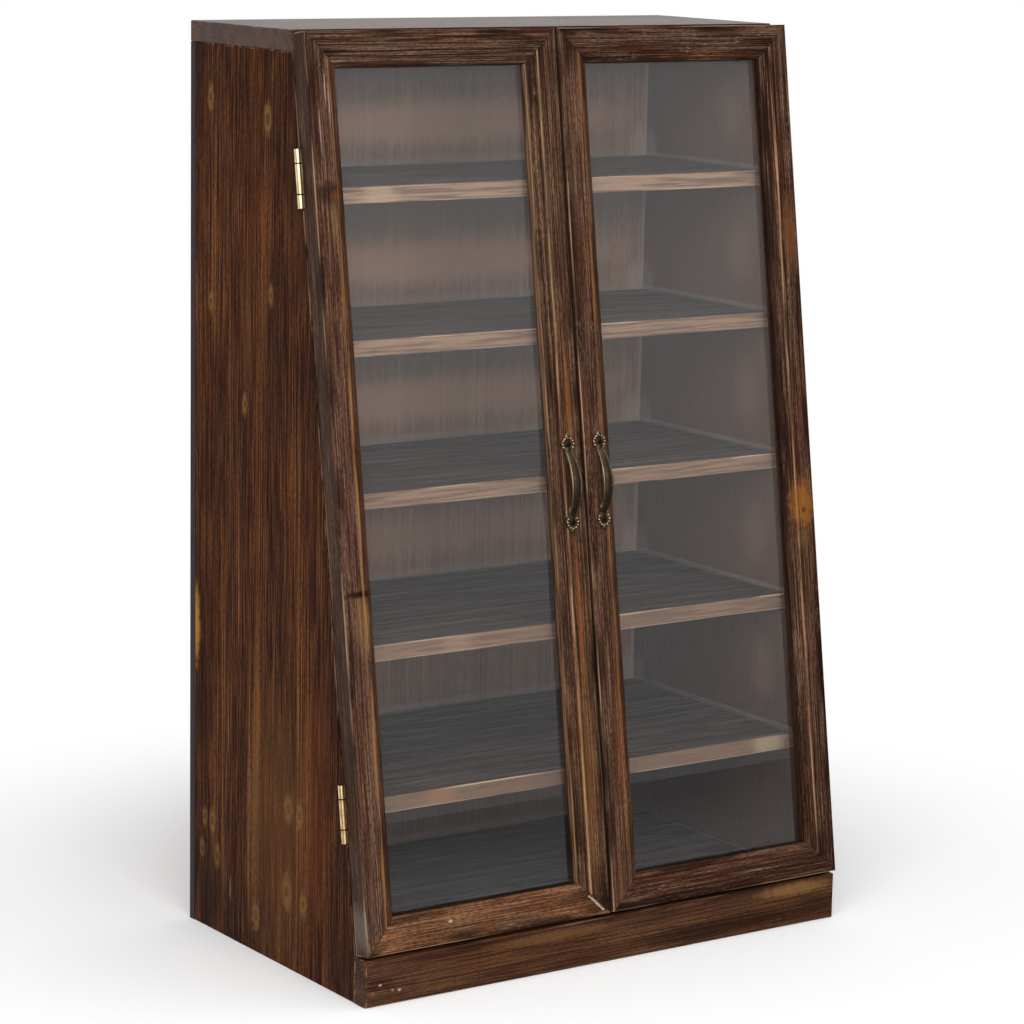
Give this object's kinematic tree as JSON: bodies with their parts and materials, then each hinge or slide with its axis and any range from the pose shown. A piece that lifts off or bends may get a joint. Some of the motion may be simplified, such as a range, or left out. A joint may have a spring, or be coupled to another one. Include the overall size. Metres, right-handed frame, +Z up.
{
  "type": "display cabinet",
  "caption": "Table-top wooden display cabinet with a sloping front, housed shelves and a pair of mitred glazed doors on brass butt hinges with bow pulls.",
  "frame": {"origin": "on the floor plane, at the middle of the footprint", "axes": "+X to the cabinet's right as it faces the viewer, +Y to its back, +Z up"},
  "size_m": [0.5108, 0.302, 0.8],
  "materials": {
    "carcass_wood": "brushed softwood, dark brown stain, satin",
    "back_wood": "dark brown stain, matt",
    "shelf_wood": "dark brown stain, satin",
    "door_wood": "brushed softwood, dark brown stain, satin",
    "peg_wood": "plain beech",
    "nail_steel": "plain wire steel",
    "glass": "clear window glass",
    "handle_brass": "antiqued brass, dark in the hollows",
    "hinge_brass": "bright rolled brass"
  },
  "bodies": {
    "carcass": {"top_panel": "carcass_wood", "left_side_panel": "carcass_wood", "right_side_panel": "carcass_wood", "plinth_board": "carcass_wood", "back_panel": "back_wood", "bottom_panel": "shelf_wood", "shelf_1": "shelf_wood", "shelf_2": "shelf_wood", "shelf_3": "shelf_wood", "shelf_4": "shelf_wood", "shelf_5": "shelf_wood", "top_panel_pegs": "peg_wood", "plinth_pegs": "peg_wood", "back_panel_nails": "nail_steel", "left_lower_hinge_side_leaf": "hinge_brass", "left_upper_hinge_side_leaf": "hinge_brass", "left_lower_hinge_pin": "hinge_brass", "left_upper_hinge_pin": "hinge_brass", "left_hinge_side_screws": "hinge_brass", "right_lower_hinge_side_leaf": "hinge_brass", "right_upper_hinge_side_leaf": "hinge_brass", "right_lower_hinge_pin": "hinge_brass", "right_upper_hinge_pin": "hinge_brass", "right_hinge_side_screws": "hinge_brass"},
    "left_door": {"left_door_hinge_stile": "door_wood", "left_door_meeting_stile": "door_wood", "left_door_bottom_rail": "door_wood", "left_door_top_rail": "door_wood", "left_door_glazing_beads": "door_wood", "left_door_glass": "glass", "left_door_bead_brads": "nail_steel", "left_door_corner_dowels": "peg_wood", "left_door_handle": "handle_brass", "left_door_handle_screws": "handle_brass", "left_lower_hinge_door_leaf": "hinge_brass", "left_upper_hinge_door_leaf": "hinge_brass", "left_hinge_door_screws": "hinge_brass"},
    "right_door": {"right_door_hinge_stile": "door_wood", "right_door_meeting_stile": "door_wood", "right_door_bottom_rail": "door_wood", "right_door_top_rail": "door_wood", "right_door_glazing_beads": "door_wood", "right_door_glass": "glass", "right_door_bead_brads": "nail_steel", "right_door_corner_dowels": "peg_wood", "right_door_handle": "handle_brass", "right_door_handle_screws": "handle_brass", "right_lower_hinge_door_leaf": "hinge_brass", "right_upper_hinge_door_leaf": "hinge_brass", "right_hinge_door_screws": "hinge_brass"}
  },
  "joints": [
    {"name": "left_door_hinge", "type": "hinge", "parent": "carcass", "child": "left_door", "pos_m": [-0.2529, -0.07569, 0.41948], "axis": [0, -0.1478, -0.989], "range_deg": [0, 180]},
    {"name": "right_door_hinge", "type": "hinge", "parent": "carcass", "child": "right_door", "pos_m": [0.2529, -0.07569, 0.41948], "axis": [0, 0.1478, 0.989], "range_deg": [0, 180]}
  ]
}
